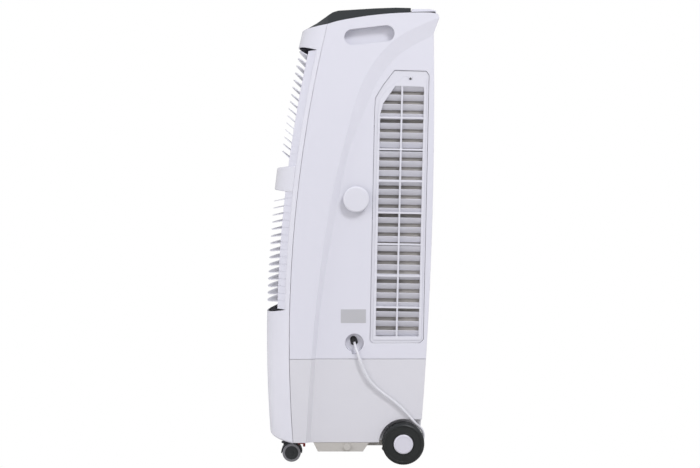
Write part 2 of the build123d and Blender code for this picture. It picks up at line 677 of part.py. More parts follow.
# ---- casters ----
def caster(side):
    """Fork with its hood, stem and wheel pin, a pair of wheels, and the brake lever."""
    x, y, z = side * caster_x, caster_y, caster_radius
    inner = caster_web / 2 + caster_gap
    outer = inner + caster_wheel_width
    hood = x_rod(x - outer, x + outer, y, z, hood_radius) & slab(z - 1, far)
    for s in (-1, 1):
        low, high = sorted((x + s * (inner - caster_gap), x + s * (outer + 1)))
        hood = hood - x_rod(low, high, y, z, caster_radius + caster_gap)
    web_plate = x_rod(x - caster_web / 2, x + caster_web / 2, y, z, caster_radius - 6)
    web_top = z + hood_radius - 1.5
    web_plate = web_plate + block(x - caster_web / 2, x + caster_web / 2, y - 14, y + 12, z, web_top)
    stem = z_rod(x, y - caster_trail, z + 19, fascia_base_z + socket_depth - 1, stem_radius)
    flange = z_rod(x, y - caster_trail, fascia_base_z - 5.5, fascia_base_z - 1.2, flange_radius)
    fork = hood + web_plate + stem + flange
    fork = fork + x_rod(x - outer, x + outer, y, z, caster_pin_radius)
    lever_y, lever_z = y + 20.0, z + caster_radius - 2.0
    slot = block(x - 8.6, x + 8.6, y + 13.0, y + 60, lever_z - 5.5, far)
    fork = fork - slot
    lever_pin = x_rod(x - 8.4, x + 8.4, lever_y - 1.0, lever_z - 1.0, 1.5)
    wheels = []
    for s in (-1, 1):
        low, high = sorted((x + s * inner, x + s * outer))
        wheel = x_rod(low, high, y, z, caster_radius)
        wheel = fillet(wheel.edges().filter_by(GeomType.CIRCLE), 2.0)
        wheels.append(wheel - x_rod(low - 1, high + 1, y, z, caster_pin_radius + run_clearance))
    lever = block(x - 8.0, x + 8.0, lever_y - 4.0, lever_y + 11.0, lever_z - 1.0, lever_z + 3.5)
    lever = lever + x_rod(x - 8.0, x + 8.0, lever_y - 1.0, lever_z - 1.0, 3.0)
    lever = lever + block(x - 8.0, x + 8.0, lever_y + 11.0, lever_y + 17.0, lever_z - 8.0, lever_z + 3.5)
    return fork, Compound(wheels), lever


for side, name in ((1, "right"), (-1, "left")):
    fork, wheels, lever = caster(side)
    nodes[f"{name}_caster_fork"] = fork
    nodes[f"{name}_caster_wheels"] = wheels
    nodes[f"{name}_brake_lever"] = lever

# ---- cord winder ----
winder_face = rear_x + winder_height
winder = x_rod(rear_x, winder_face - 10, *winder_centre, winder_radius - 12)
winder = winder + x_rod(winder_face - 10, winder_face, *winder_centre, winder_radius)
nodes["cord_winder"] = fillet(winder.edges().filter_by(GeomType.CIRCLE).sort_by(Axis.X)[-1:], 5.0)

# ---- cord, its bush, the put-away coil and the plug ----
bush_room = block(rear_x - cup_depth - 12, rear_x, -far, far, 0, over_top)
nodes["cord_bush"] = (bush_core & bush_room) - bush_bore

floor_z = cord_diameter / 2 + 0.1
coil_centre = (80.0, 148.0)
coil_inner, coil_outer, coil_height = 25.0, 47.0, 14.5
cord_points = [
    bush_mouth - bush_dir * 8.0, bush_mouth + bush_dir * 16.0,
    Vector(216.3, 20.3, 298.0), Vector(217.6, 28.3, 275.5), Vector(216.5, 38.0, 250.5),
    Vector(214.5, 54.5, 222.0), Vector(213.0, 81.0, 198.0), Vector(212.5, 110.0, 177.5),
    Vector(213.0, 138.0, 154.5), Vector(213.5, 159.0, 130.5), Vector(207.5, 177.5, 109.5),
    Vector(192.5, 193.0, 94.5), Vector(176.5, 200.0, 73.0), Vector(172.0, 194.0, 45.5),
    Vector(167.5, 178.5, 21.0), Vector(156.5, 159.5, 6.5), Vector(140.5, 143.0, floor_z),
    Vector(126.0, 129.5, floor_z), Vector(111.0, 117.0, floor_z),
]


def cord_tube(name, points):
    """Straight runs joined by the largest tangent arcs that they leave room for."""
    radii = []
    for a, b, c in zip(points, points[1:], points[2:]):
        turn = math.radians((b - a).get_angle(c - b))
        radii.append(0.45 * min((b - a).length, (c - b).length) / math.tan(turn / 2))
    path = FilletPolyline(*points, radius=radii)
    section = Plane(origin=points[0], z_dir=points[1] - points[0]) * Circle(cord_diameter / 2)
    tube = sweep(section, path=path)
    ideal = math.pi * cord_diameter**2 / 4 * path.length
    print(name, "length", round(path.length, 1), "volume ratio", round(tube.volume / ideal, 4))
    print(name, "radii", [round(r) for r in radii])
    return tube


coil = Pos(*coil_centre, coil_height / 2) * (
    Cylinder(coil_outer, coil_height) - Cylinder(coil_inner, coil_height + 2))
nodes["cord_coil"] = fillet(coil.edges().filter_by(GeomType.CIRCLE), 3.0)

plug_x = 11.5               # its axis runs along Y, and it lies on the floor
plug_neck_y, plug_rear_y = 131.0, 151.0
plug_body_length = 34.0
plug_pin_length = 19.0
plug_face_y = plug_rear_y + plug_body_length


def y_rod(x, y0, y1, radius):
    """A rod along Y at the height of the plug's axis."""
    return Pos(x, (y0 + y1) / 2, plug_radius) * Rot(90, 0, 0) * Cylinder(radius, y1 - y0)


plug_body = y_rod(plug_x, plug_rear_y, plug_face_y, plug_radius)
plug_body = fillet(plug_body.edges().filter_by(GeomType.CIRCLE), 3.0)
neck = Pos(plug_x, (plug_neck_y + plug_rear_y) / 2, plug_radius) * Rot(90, 0, 0) * Cone(
    9.0, 5.5, plug_rear_y - plug_neck_y)
plug_pins = [
    y_rod(plug_x + s * plug_pin_spacing / 2, plug_face_y - 1, plug_face_y + plug_pin_length, plug_pin_radius)
    for s in (-1, 1)]
nodes["mains_plug"] = plug_body + neck + plug_pins

tail_points = [
    Vector(94.8, 107.2, 10.7), Vector(71.5, 98.9, 12.4), Vector(47.2, 89.9, 14.0),
    Vector(30.5, 92.8, 15.3), Vector(17.5, 103.7, 16.6), Vector(plug_x, 118.5, 17.8),
    Vector(plug_x, plug_neck_y, plug_radius),
]
nodes["power_cord"] = Compound([cord_tube("cord", cord_points), cord_tube("tail", tail_points)])

# ---- write every node ----
os.makedirs("parts", exist_ok=True)
for name, shape in nodes.items():
    export_step(shape, f"parts/{name}.step")
print(len(nodes), "nodes written")
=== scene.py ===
import bmesh
import bpy
import math
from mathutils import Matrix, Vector


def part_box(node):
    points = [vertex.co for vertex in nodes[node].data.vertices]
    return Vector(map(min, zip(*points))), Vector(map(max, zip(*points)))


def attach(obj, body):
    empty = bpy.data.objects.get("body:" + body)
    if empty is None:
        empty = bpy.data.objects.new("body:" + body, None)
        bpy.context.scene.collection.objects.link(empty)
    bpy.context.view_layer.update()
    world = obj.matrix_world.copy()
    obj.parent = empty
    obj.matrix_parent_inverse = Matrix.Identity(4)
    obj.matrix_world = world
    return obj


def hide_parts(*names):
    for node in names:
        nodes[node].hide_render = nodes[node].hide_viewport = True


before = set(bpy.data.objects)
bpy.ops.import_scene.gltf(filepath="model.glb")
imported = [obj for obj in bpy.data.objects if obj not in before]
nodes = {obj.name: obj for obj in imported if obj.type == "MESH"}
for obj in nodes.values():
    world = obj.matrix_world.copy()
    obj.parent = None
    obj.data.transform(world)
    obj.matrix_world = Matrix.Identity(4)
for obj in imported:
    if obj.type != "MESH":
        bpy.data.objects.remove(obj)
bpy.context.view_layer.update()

# Camera: it faces the cord side of the cooler, at hip height, and looks very slightly down.
camera_distance = 4.315
camera_y = -0.0017
camera_height = 0.767
aim_x = 0.215
aim_height = 0.6238
lens_mm = 78.5
sensor_mm = 36.0
camera_data = bpy.data.cameras.new("camera")
camera_data.lens = lens_mm
camera_data.sensor_width = sensor_mm
camera = bpy.data.objects.new("camera", camera_data)
camera.location = (camera_distance, camera_y, camera_height)
aim = Vector((aim_x, camera_y, aim_height)) - camera.location
camera.rotation_euler = aim.to_track_quat("-Z", "Y").to_euler()
bpy.context.scene.collection.objects.link(camera)
bpy.context.scene.camera = camera

# Mains cord: a white round PVC lead. It leaves the black bush in the side cup, hangs across the
# tank, drops behind the right wheel and lies on the floor, wound up in two layers under the tray.
cord_diameter = 0.007
cord_reach = 0.0036         # from the cord's centre to what it lies on or against
layer_rise = 0.0071         # from the coil's lower layer to its upper one
layer_change_turns = 0.3    # over which it climbs there
cord_route = [
    (0.1899, 0.0088, 0.3339), (0.2082, 0.0133, 0.3191), (0.2163, 0.0203, 0.2980),
    (0.2176, 0.0283, 0.2755), (0.2165, 0.0380, 0.2505), (0.2145, 0.0545, 0.2220),
    (0.2130, 0.0810, 0.1980), (0.2125, 0.1100, 0.1775), (0.2130, 0.1380, 0.1545),
    (0.2135, 0.1590, 0.1305), (0.2075, 0.1775, 0.1095), (0.1925, 0.1930, 0.0945),
    (0.1765, 0.2000, 0.0730), (0.1720, 0.1940, 0.0455), (0.1675, 0.1785, 0.0210),
    (0.1565, 0.1595, 0.0065), (0.1405, 0.1430, cord_reach), (0.1260, 0.1295, cord_reach),
]
coil_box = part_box("cord_coil")
coil_centre = (coil_box[0] + coil_box[1]) / 2
coil_turns = 4 + 25 / 360
coil_outer_radius = (coil_box[1].x - coil_box[0].x) / 2 - cord_reach
coil_start_angle = math.radians(-45)
points_a_turn = 20
coil_points = round(coil_turns * points_a_turn)
for step in range(coil_points + 1):
    turns = coil_turns * step / coil_points
    layer_turns = min(turns, coil_turns - turns)
    radius = coil_outer_radius - cord_diameter * layer_turns
    angle = coil_start_angle - 2 * math.pi * turns
    climbed = (turns - coil_turns / 2 + layer_change_turns / 2) / layer_change_turns
    rise = min(1.0, max(0.0, climbed))
    cord_route.append((
        coil_centre.x + radius * math.cos(angle), coil_centre.y + radius * math.sin(angle),
        cord_reach + layer_rise * rise * rise * (3 - 2 * rise)))
cord_route += [
    (0.0715, 0.0989, 0.0124), (0.0472, 0.0899, 0.0140), (0.0305, 0.0928, 0.0153),
    (0.0175, 0.1037, 0.0166), (0.0115, 0.1185, 0.0178), (0.0115, 0.1310, 0.0185),
]
cord_curve = bpy.data.curves.new("mains_cord", "CURVE")
cord_curve.dimensions = "3D"
cord_curve.bevel_depth = 1.0
cord_curve.bevel_resolution = 5
cord_curve.resolution_u = 6
cord_curve.use_fill_caps = True
spline = cord_curve.splines.new("NURBS")
spline.points.add(len(cord_route) - 1)
for point, place in zip(spline.points, cord_route):
    point.co = (*place, 1.0)
    point.radius = cord_diameter / 2
spline.order_u = 3
spline.use_endpoint_u = True
mains_cord = bpy.data.objects.new("mains_cord", cord_curve)
bpy.context.scene.collection.objects.link(mains_cord)
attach(mains_cord, "casing")
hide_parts("power_cord", "cord_coil")

# Moulded finish, shared by every material of the cooler: slow colour drift, slight changes of gloss,
# a fine grain and rounded edges.
finish = bpy.data.node_groups.new("moulded_finish", "ShaderNodeTree")
for label, kind, value in (
        ("Colour", "NodeSocketColor", (0.8, 0.8, 0.8, 1.0)),
        ("Shade Colour", "NodeSocketColor", (0.6, 0.6, 0.6, 1.0)),
        ("Drift", "NodeSocketFloat", 0.3), ("Roughness", "NodeSocketFloat", 0.3),
        ("Grain Scale", "NodeSocketFloat", 900.0), ("Grain Depth", "NodeSocketFloat", 0.05),
        ("Edge Radius", "NodeSocketFloat", 0.001)):
    socket = finish.interface.new_socket(label, in_out="INPUT", socket_type=kind)
    socket.default_value = value
for label, kind in (
        ("Colour", "NodeSocketColor"), ("Roughness", "NodeSocketFloat"),
        ("Normal", "NodeSocketVector")):
    finish.interface.new_socket(label, in_out="OUTPUT", socket_type=kind)
fn = finish.nodes
fl = finish.links
group_in = fn.new("NodeGroupInput")
group_out = fn.new("NodeGroupOutput")
place = fn.new("ShaderNodeTexCoord")
flow = fn.new("ShaderNodeTexNoise")
flow.inputs["Scale"].default_value = 3.5
flow.inputs["Detail"].default_value = 3.0
flow_mask = fn.new("ShaderNodeMath")
flow_mask.operation = "MULTIPLY"
tint = fn.new("ShaderNodeMix")
tint.data_type = "RGBA"
scuff = fn.new("ShaderNodeTexNoise")
scuff.inputs["Scale"].default_value = 45.0
scuff.inputs["Detail"].default_value = 6.0
scuff_range = fn.new("ShaderNodeMapRange")
scuff_range.inputs["To Min"].default_value = -0.015
scuff_range.inputs["To Max"].default_value = 0.02
rough = fn.new("ShaderNodeMath")
rough.operation = "ADD"
grain = fn.new("ShaderNodeTexNoise")
grain.inputs["Detail"].default_value = 2.0
soft_edge = fn.new("ShaderNodeBevel")
soft_edge.samples = 4
bump = fn.new("ShaderNodeBump")
bump.inputs["Distance"].default_value = 0.0004
for texture in (flow, scuff, grain):
    fl.new(place.outputs["Object"], texture.inputs["Vector"])
fl.new(group_in.outputs["Grain Scale"], grain.inputs["Scale"])
fl.new(flow.outputs["Fac"], flow_mask.inputs[0])
fl.new(group_in.outputs["Drift"], flow_mask.inputs[1])
fl.new(flow_mask.outputs[0], tint.inputs["Factor"])
fl.new(group_in.outputs["Colour"], tint.inputs["A"])
fl.new(group_in.outputs["Shade Colour"], tint.inputs["B"])
fl.new(scuff.outputs["Fac"], scuff_range.inputs["Value"])
fl.new(group_in.outputs["Roughness"], rough.inputs[0])
fl.new(scuff_range.outputs["Result"], rough.inputs[1])
fl.new(group_in.outputs["Edge Radius"], soft_edge.inputs["Radius"])
fl.new(soft_edge.outputs["Normal"], bump.inputs["Normal"])
fl.new(grain.outputs["Fac"], bump.inputs["Height"])
fl.new(group_in.outputs["Grain Depth"], bump.inputs["Strength"])
fl.new(tint.outputs["Result"], group_out.inputs["Colour"])
fl.new(rough.outputs[0], group_out.inputs["Roughness"])
fl.new(bump.outputs["Normal"], group_out.inputs["Normal"])


def moulded(
        name, colour, shade, drift, roughness, grain_scale, grain_depth, edge_radius,
        coat=0.0, metal=0.0):
    """A material that feeds a Principled shader from the moulded finish."""
    material = bpy.data.materials.new(name)
    material.use_nodes = True
    tree = material.node_tree
    shader = tree.nodes["Principled BSDF"]
    group = tree.nodes.new("ShaderNodeGroup")
    group.node_tree = finish
    group.inputs["Colour"].default_value = (*colour, 1.0)
    group.inputs["Shade Colour"].default_value = (*shade, 1.0)
    group.inputs["Drift"].default_value = drift
    group.inputs["Roughness"].default_value = roughness
    group.inputs["Grain Scale"].default_value = grain_scale
    group.inputs["Grain Depth"].default_value = grain_depth
    group.inputs["Edge Radius"].default_value = edge_radius
    shader.inputs["Coat Weight"].default_value = coat
    shader.inputs["Coat Roughness"].default_value = 0.08
    shader.inputs["Metallic"].default_value = metal
    tree.links.new(group.outputs["Colour"], shader.inputs["Base Color"])
    tree.links.new(group.outputs["Roughness"], shader.inputs["Roughness"])
    tree.links.new(group.outputs["Normal"], shader.inputs["Normal"])
    return material


def dress(material, *names):
    """Gives CAD nodes their material."""
    for name in names:
        mesh = nodes[name].data
        mesh.materials.clear()
        mesh.materials.append(material)


def piece(name, mesh, material, body):
    """A finished mesh as a piece of the object that rides on a body."""
    mesh.materials.append(material)
    made = bpy.data.objects.new(name, mesh)
    bpy.context.scene.collection.objects.link(made)
    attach(made, body)
    return made


# Casing: bright white glossy ABS mouldings with a faint cool cast, seamed where they meet.
casing_white = moulded(
    "casing_white", (0.73, 0.73, 0.78), (0.69, 0.69, 0.735),
    drift=0.6, roughness=0.24, grain_scale=1400.0, grain_depth=0.03, edge_radius=0.0018, coat=0.3)
dress(casing_white, "front_fascia", "mid_band", "side_panels", "rear_panel", "fill_lid")

# Water tank: the same finish in a more neutral white than the casing above it.
tank_white = moulded(
    "tank_white", (0.70, 0.697, 0.72), (0.66, 0.655, 0.675),
    drift=0.6, roughness=0.26, grain_scale=1400.0, grain_depth=0.03, edge_radius=0.0018, coat=0.3)
dress(tank_white, "water_tank")

# Winder and intake grilles: the same plastic from other moulds, a little more matt.
trim_white = moulded(
    "trim_white", (0.72, 0.72, 0.76), (0.67, 0.67, 0.71),
    drift=0.5, roughness=0.34, grain_scale=1400.0, grain_depth=0.05, edge_radius=0.0012)
dress(trim_white, "cord_winder", "intake_grilles")

# Louvres: thin satin white blades, and the slightly darker rails that hold their pins.
blade_white = moulded(
    "blade_white", (0.78, 0.78, 0.82), (0.70, 0.70, 0.74),
    drift=0.4, roughness=0.38, grain_scale=1500.0, grain_depth=0.05, edge_radius=0.0005)
rail_white = moulded(
    "rail_white", (0.70, 0.70, 0.76), (0.60, 0.60, 0.66),
    drift=0.5, roughness=0.45, grain_scale=1500.0, grain_depth=0.06, edge_radius=0.001)
dress(blade_white, *[name for name in nodes if "_louvre_" in name])
dress(rail_white, "louvre_frame")

# Base tray and drain plug: unpainted warm grey polypropylene with a dull, slightly waxy surface.
tray_grey = moulded(
    "tray_grey", (0.56, 0.54, 0.49), (0.48, 0.46, 0.42),
    drift=0.7, roughness=0.5, grain_scale=900.0, grain_depth=0.12, edge_radius=0.0012)
dress(tray_grey, "base_tray", "drain_plug")

# Control panel: one dark glossy moulding over the slanted top, with a thin smoked touch window laid
# on it.
panel_dark = moulded(
    "panel_dark", (0.024, 0.029, 0.031), (0.016, 0.02, 0.021),
    drift=0.6, roughness=0.16, grain_scale=1600.0, grain_depth=0.02, edge_radius=0.0015, coat=0.6)
dress(panel_dark, "control_panel")
window_dark = moulded(
    "window_dark", (0.008, 0.009, 0.010), (0.012, 0.013, 0.014),
    drift=0.4, roughness=0.06, grain_scale=2000.0, grain_depth=0.01, edge_radius=0.0004, coat=1.0)


def slab_mesh(name, corners, thickness, corner_radius, segments=6):
    """A thin plate over four corners in order, rounded in outline and softened along its rim."""
    base = [Vector(c) for c in corners]
    normal = (base[1] - base[0]).cross(base[3] - base[0]).normalized()
    outline = []
    for k in range(4):
        here, before, after = base[k], base[k - 1], base[(k + 1) % 4]
        toward_before = (before - here).normalized()
        toward_after = (after - here).normalized()
        centre = here + (toward_before + toward_after) * corner_radius
        for s in range(segments + 1):
            turn = s / segments * math.pi / 2
            outline.append(
                centre - toward_after * corner_radius * math.cos(turn)
                - toward_before * corner_radius * math.sin(turn))
    bm = bmesh.new()
    rings = []
    rim = min(thickness * 0.4, 0.0006)
    middle = sum(outline, Vector()) / len(outline)
    for lift, pull in ((0.0, 0.0), (thickness - rim, 0.0), (thickness, rim)):
        ring = []
        for p in outline:
            inward = (middle - p).normalized() * pull
            ring.append(bm.verts.new(p + inward + normal * lift))
        rings.append(ring)
    count = len(outline)
    for lower, upper in zip(rings, rings[1:]):
        for k in range(count):
            bm.faces.new((lower[k], lower[(k + 1) % count], upper[(k + 1) % count], upper[k]))
    bm.faces.new(rings[-1])
    bm.faces.new(list(reversed(rings[0])))
    bmesh.ops.recalc_face_normals(bm, faces=bm.faces)
    mesh = bpy.data.meshes.new(name)
    bm.to_mesh(mesh)
    bm.free()
    return mesh


window_half = 0.110
window_front = (-0.0300, 1.2243)
window_rear = (0.0620, 1.2299)
window_thickness = 0.0008
window_corner = 0.006
piece("touch_window", slab_mesh("touch_window", [
    (-window_half, *window_front), (window_half, *window_front), (window_half, *window_rear),
    (-window_half, *window_rear),
], window_thickness, window_corner), window_dark, "casing")

# Rating plate: a blank brushed foil label stuck to the lower rear of the cord side.
plate_silver = moulded(
    "plate_silver", (0.55, 0.55, 0.56), (0.42, 0.42, 0.43),
    drift=0.8, roughness=0.35, grain_scale=1200.0, grain_depth=0.08, edge_radius=0.0003)
side_face_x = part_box("cord_winder")[0].x
plate_front_y, plate_rear_y = -0.0267, 0.0413
plate_foot_z, plate_head_z = 0.383, 0.420
plate_thickness = 0.0004
plate_corner = 0.0015
piece("rating_plate", slab_mesh("rating_plate", [
    (side_face_x, plate_front_y, plate_foot_z), (side_face_x, plate_rear_y, plate_foot_z),
    (side_face_x, plate_rear_y, plate_head_z), (side_face_x, plate_front_y, plate_head_z),
], plate_thickness, plate_corner), plate_silver, "casing")

# Cooling pads: sheets of corrugated cellulose glued into a slab, browned by use. Their rear half is
# painted paler, a painted sheen rather than a change in the pads' own colour. The fluted face behind
# each grille is a grid pushed in and out along crossing waves.
pad_brown = moulded(
    "pad_brown", (0.50, 0.475, 0.445), (0.22, 0.21, 0.195),
    drift=1.0, roughness=0.9, grain_scale=350.0, grain_depth=0.6, edge_radius=0.0002)
pad_tree = pad_brown.node_tree
pad_place = pad_tree.nodes.new("ShaderNodeTexCoord")
pad_split = pad_tree.nodes.new("ShaderNodeSeparateXYZ")
# Painted sheen: the pad colour is scaled from 0.95 at the front to 1.25 at the rear, standing in for
# the sheen on the rear half.
pad_painted_sheen = pad_tree.nodes.new("ShaderNodeMapRange")
pad_painted_sheen.inputs["From Min"].default_value = 0.128
pad_painted_sheen.inputs["From Max"].default_value = 0.150
pad_painted_sheen.inputs["To Min"].default_value = 0.95
pad_painted_sheen.inputs["To Max"].default_value = 1.25
pad_scale = pad_tree.nodes.new("ShaderNodeVectorMath")
pad_scale.operation = "SCALE"
pad_shader = pad_tree.nodes["Principled BSDF"]
pad_tree.links.new(pad_place.outputs["Object"], pad_split.inputs[0])
pad_tree.links.new(pad_split.outputs["Y"], pad_painted_sheen.inputs["Value"])
pad_tree.links.new(pad_painted_sheen.outputs["Result"], pad_scale.inputs["Scale"])
pad_tree.links.new(pad_shader.inputs["Base Color"].links[0].from_socket, pad_scale.inputs[0])
pad_tree.links.new(pad_scale.outputs["Vector"], pad_shader.inputs["Base Color"])
dress(pad_brown, "cooling_pads")

flute_tree = bpy.data.node_groups.new("pad_flutes", "GeometryNodeTree")
flute_tree.interface.new_socket("Geometry", in_out="OUTPUT", socket_type="NodeSocketGeometry")
flute_inputs = {}
for label, value in (
        ("Depth", 0.12), ("Height", 0.68), ("Face X", 0.18), ("Mid Y", 0.13), ("Mid Z", 0.69),
        ("Outward", 1.0)):
    flute_inputs[label] = flute_tree.interface.new_socket(
        label, in_out="INPUT", socket_type="NodeSocketFloat")
    flute_inputs[label].default_value = value
material_socket = flute_tree.interface.new_socket(
    "Material", in_out="INPUT", socket_type="NodeSocketMaterial")
gn = flute_tree.nodes
gl = flute_tree.links
gin = gn.new("NodeGroupInput")
gout = gn.new("NodeGroupOutput")
grid = gn.new("GeometryNodeMeshGrid")
grid.inputs["Vertices X"].default_value = 60
grid.inputs["Vertices Y"].default_value = 300
gl.new(gin.outputs["Depth"], grid.inputs["Size X"])
gl.new(gin.outputs["Height"], grid.inputs["Size Y"])
spot = gn.new("GeometryNodeInputPosition")
split = gn.new("ShaderNodeSeparateXYZ")
gl.new(spot.outputs[0], split.inputs[0])


def gmath(operation, a, b=None):
    node = gn.new("ShaderNodeMath")
    node.operation = operation
    for socket, value in zip(node.inputs, (a, b)):
        if value is None:
            continue
        if isinstance(value, (int, float)):
            socket.default_value = value
        else:
            gl.new(value, socket)
    return node.outputs[0]


rising_waves = (520.0, 610.0)    # radians to a metre of depth and of height
falling_waves = (380.0, 700.0)
flute_relief = 0.004
along = gmath(
    "ADD", gmath("MULTIPLY", split.outputs["X"], rising_waves[0]),
    gmath("MULTIPLY", split.outputs["Y"], rising_waves[1]))
across = gmath(
    "SUBTRACT", gmath("MULTIPLY", split.outputs["X"], falling_waves[0]),
    gmath("MULTIPLY", split.outputs["Y"], falling_waves[1]))
waves = gmath("MULTIPLY", gmath("SINE", along), gmath("SINE", across))
relief = gmath(
    "MULTIPLY", gmath("MULTIPLY", gmath("ABSOLUTE", waves), -flute_relief), gin.outputs["Outward"])
joined = gn.new("ShaderNodeCombineXYZ")
gl.new(gmath("ADD", gin.outputs["Face X"], relief), joined.inputs["X"])
gl.new(gmath("ADD", split.outputs["X"], gin.outputs["Mid Y"]), joined.inputs["Y"])
gl.new(gmath("ADD", split.outputs["Y"], gin.outputs["Mid Z"]), joined.inputs["Z"])
put = gn.new("GeometryNodeSetPosition")
gl.new(grid.outputs["Mesh"], put.inputs["Geometry"])
gl.new(joined.outputs[0], put.inputs["Position"])
realized = gn.new("GeometryNodeRealizeInstances")
gl.new(put.outputs[0], realized.inputs[0])
painted = gn.new("GeometryNodeSetMaterial")
gl.new(realized.outputs[0], painted.inputs["Geometry"])
gl.new(gin.outputs["Material"], painted.inputs["Material"])
gl.new(painted.outputs[0], gout.inputs[0])


def grown(name, tree, values):
    """Runs a geometry-nodes tree with these input values and returns its result as a plain mesh."""
    host = bpy.data.objects.new(name, bpy.data.meshes.new(name))
    bpy.context.scene.collection.objects.link(host)
    modifier = host.modifiers.new("nodes", "NODES")
    modifier.node_group = tree
    for socket, value in values:
        modifier[socket.identifier] = value
    bpy.context.view_layer.update()
    evaluated = host.evaluated_get(bpy.context.evaluated_depsgraph_get())
    mesh = bpy.data.meshes.new_from_object(evaluated)
    bpy.data.objects.remove(host)
    mesh.name = name
    return mesh


pad_face_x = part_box("cooling_pads")[1].x + 0.001
for side, side_name in ((1, "right"), (-1, "left")):
    flutes = grown(f"{side_name}_pad_face", flute_tree, [
        (flute_inputs["Depth"], 0.112), (flute_inputs["Height"], 0.60),
        (flute_inputs["Face X"], side * pad_face_x), (flute_inputs["Mid Y"], 0.131),
        (flute_inputs["Mid Z"], 0.645), (flute_inputs["Outward"], float(side)),
        (material_socket, pad_brown)])
    flutes.materials.clear()
    if side < 0:
        flutes.flip_normals()
    piece(f"{side_name}_pad_face", flutes, pad_brown, "casing")

# Rear wheels: a black blow-moulded tyre with a ribbed tread, and a white snap-on cap with a
# stepped face over the axle's end.
tyre_black = moulded(
    "tyre_black", (0.006, 0.008, 0.007), (0.014, 0.017, 0.015),
    drift=0.7, roughness=0.42, grain_scale=700.0, grain_depth=0.15, edge_radius=0.001)
cap_white = moulded(
    "cap_white", (0.70, 0.69, 0.74), (0.63, 0.62, 0.67),
    drift=0.5, roughness=0.3, grain_scale=1300.0, grain_depth=0.05, edge_radius=0.0008)


def lathe(name, profile, centre, side, segments=96):
    """Turns a closed (x, radius) profile about the wheel's axis."""
    bm = bmesh.new()
    rings = []
    for s in range(segments):
        turn = 2 * math.pi * s / segments
        rings.append([
            bm.verts.new((side * x, centre.y + r * math.cos(turn), centre.z + r * math.sin(turn)))
            for x, r in profile])
    for s in range(segments):
        here, after = rings[s], rings[(s + 1) % segments]
        for k in range(len(profile)):
            m = (k + 1) % len(profile)
            bm.faces.new((here[k], here[m], after[m], after[k]))
    bmesh.ops.remove_doubles(bm, verts=bm.verts, dist=1e-6)
    bmesh.ops.dissolve_degenerate(bm, edges=bm.edges, dist=1e-6)
    bmesh.ops.recalc_face_normals(bm, faces=bm.faces)
    for face in bm.faces:
        face.smooth = True
    mesh = bpy.data.meshes.new(name)
    bm.to_mesh(mesh)
    bm.free()
    mesh.set_sharp_from_angle(angle=math.radians(35))
    return mesh


rib_tree = bpy.data.node_groups.new("tread_ribs", "GeometryNodeTree")
rib_tree.interface.new_socket("Geometry", in_out="OUTPUT", socket_type="NodeSocketGeometry")
rib_inputs = {}
for label, kind, value in (
        ("Count", "NodeSocketInt", 60), ("Radius", "NodeSocketFloat", 0.056),
        ("Width", "NodeSocketFloat", 0.03),
        ("Centre", "NodeSocketVector", (0, 0, 0)), ("Material", "NodeSocketMaterial", None)):
    rib_inputs[label] = rib_tree.interface.new_socket(label, in_out="INPUT", socket_type=kind)
    if value is not None:
        rib_inputs[label].default_value = value
gn = rib_tree.nodes
gl = rib_tree.links
gin = gn.new("NodeGroupInput")
gout = gn.new("NodeGroupOutput")
circle = gn.new("GeometryNodeMeshCircle")
gl.new(gin.outputs["Count"], circle.inputs["Vertices"])
gl.new(gin.outputs["Radius"], circle.inputs["Radius"])
rib = gn.new("GeometryNodeMeshCube")
rib_size = gn.new("ShaderNodeCombineXYZ")
rib_size.inputs["X"].default_value = 0.0022
rib_size.inputs["Y"].default_value = 0.0018
gl.new(gin.outputs["Width"], rib_size.inputs["Z"])
gl.new(rib_size.outputs[0], rib.inputs["Size"])
align = gn.new("FunctionNodeAlignRotationToVector")
align.axis = "X"
circle_spot = gn.new("GeometryNodeInputPosition")
gl.new(circle_spot.outputs[0], align.inputs["Vector"])
scatter = gn.new("GeometryNodeInstanceOnPoints")
gl.new(circle.outputs["Mesh"], scatter.inputs["Points"])
gl.new(rib.outputs["Mesh"], scatter.inputs["Instance"])
gl.new(align.outputs["Rotation"], scatter.inputs["Rotation"])
spun = gn.new("GeometryNodeTransform")
spun.inputs["Rotation"].default_value = (0, math.pi / 2, 0)
gl.new(scatter.outputs["Instances"], spun.inputs["Geometry"])
gl.new(gin.outputs["Centre"], spun.inputs["Translation"])
realized = gn.new("GeometryNodeRealizeInstances")
gl.new(spun.outputs[0], realized.inputs[0])
painted = gn.new("GeometryNodeSetMaterial")
gl.new(realized.outputs[0], painted.inputs["Geometry"])
gl.new(gin.outputs["Material"], painted.inputs["Material"])
gl.new(painted.outputs[0], gout.inputs[0])

